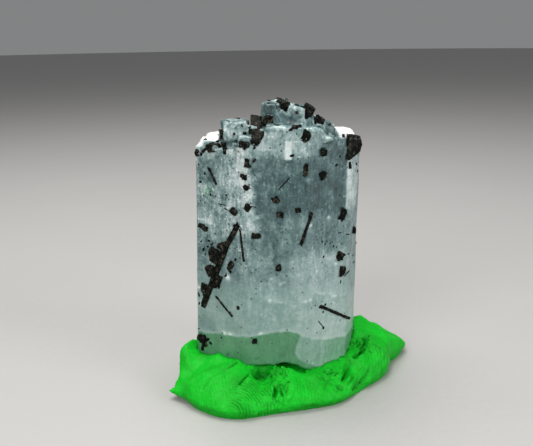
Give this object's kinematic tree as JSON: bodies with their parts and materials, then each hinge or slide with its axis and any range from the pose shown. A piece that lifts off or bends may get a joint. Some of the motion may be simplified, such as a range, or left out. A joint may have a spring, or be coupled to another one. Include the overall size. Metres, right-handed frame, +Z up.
{
  "type": "aquamarine crystal",
  "caption": "Upright prismatic aquamarine crystal with black tourmaline grains and needles in its faces, stood in a pressed lump of green putty.",
  "frame": {"origin": "on the putty's flat underside, under the axis of the prism", "axes": "+Z up along the crystal, -Y the display side, +X to the viewer's right"},
  "size_m": [0.0369, 0.031, 0.0423],
  "materials": {
    "aquamarine": "translucent, cloudy blue-grey with a greener foot, satin growth faces with fine upright striae",
    "black_tourmaline": "brown-black, half gloss, striated",
    "green_putty": "bright green modelling putty, soft satin, with fingerprint ridges"
  },
  "bodies": {
    "root": {"aquamarine_crystal": "aquamarine", "putty_base": "green_putty", "tourmaline_back_crown": "black_tourmaline", "tourmaline_back_rim": "black_tourmaline", "tourmaline_block_side": "black_tourmaline", "tourmaline_crown_left": "black_tourmaline", "tourmaline_crown_rim": "black_tourmaline", "tourmaline_crown_scar": "black_tourmaline", "tourmaline_crown_slab": "black_tourmaline", "tourmaline_grain_01": "black_tourmaline", "tourmaline_grain_02": "black_tourmaline", "tourmaline_grain_03": "black_tourmaline", "tourmaline_grain_04": "black_tourmaline", "tourmaline_grain_05": "black_tourmaline", "tourmaline_grain_06": "black_tourmaline", "tourmaline_grain_07": "black_tourmaline", "tourmaline_grain_08": "black_tourmaline", "tourmaline_grain_09": "black_tourmaline", "tourmaline_grain_10": "black_tourmaline", "tourmaline_grain_11": "black_tourmaline", "tourmaline_grain_12": "black_tourmaline", "tourmaline_grain_13": "black_tourmaline", "tourmaline_grain_14": "black_tourmaline", "tourmaline_grain_15": "black_tourmaline", "tourmaline_grain_16": "black_tourmaline", "tourmaline_grain_17": "black_tourmaline", "tourmaline_grain_18": "black_tourmaline", "tourmaline_grain_19": "black_tourmaline", "tourmaline_grain_20": "black_tourmaline", "tourmaline_grain_21": "black_tourmaline", "tourmaline_grain_22": "black_tourmaline", "tourmaline_grain_23": "black_tourmaline", "tourmaline_grain_24": "black_tourmaline", "tourmaline_grain_25": "black_tourmaline", "tourmaline_grain_26": "black_tourmaline", "tourmaline_grain_27": "black_tourmaline", "tourmaline_grain_28": "black_tourmaline", "tourmaline_grain_29": "black_tourmaline", "tourmaline_grain_30": "black_tourmaline", "tourmaline_needle_1": "black_tourmaline", "tourmaline_needle_2": "black_tourmaline", "tourmaline_needle_3": "black_tourmaline", "tourmaline_needle_4": "black_tourmaline", "tourmaline_needle_5": "black_tourmaline", "tourmaline_needle_6": "black_tourmaline", "tourmaline_needle_7": "black_tourmaline", "tourmaline_ridge_high": "black_tourmaline", "tourmaline_ridge_low": "black_tourmaline", "tourmaline_ridge_middle": "black_tourmaline", "tourmaline_rim_corner": "black_tourmaline", "tourmaline_rim_left": "black_tourmaline", "tourmaline_rim_middle": "black_tourmaline", "tourmaline_rod": "black_tourmaline", "tourmaline_shoulder": "black_tourmaline", "tourmaline_summit": "black_tourmaline", "tourmaline_wedge": "black_tourmaline"}
  },
  "joints": []
}
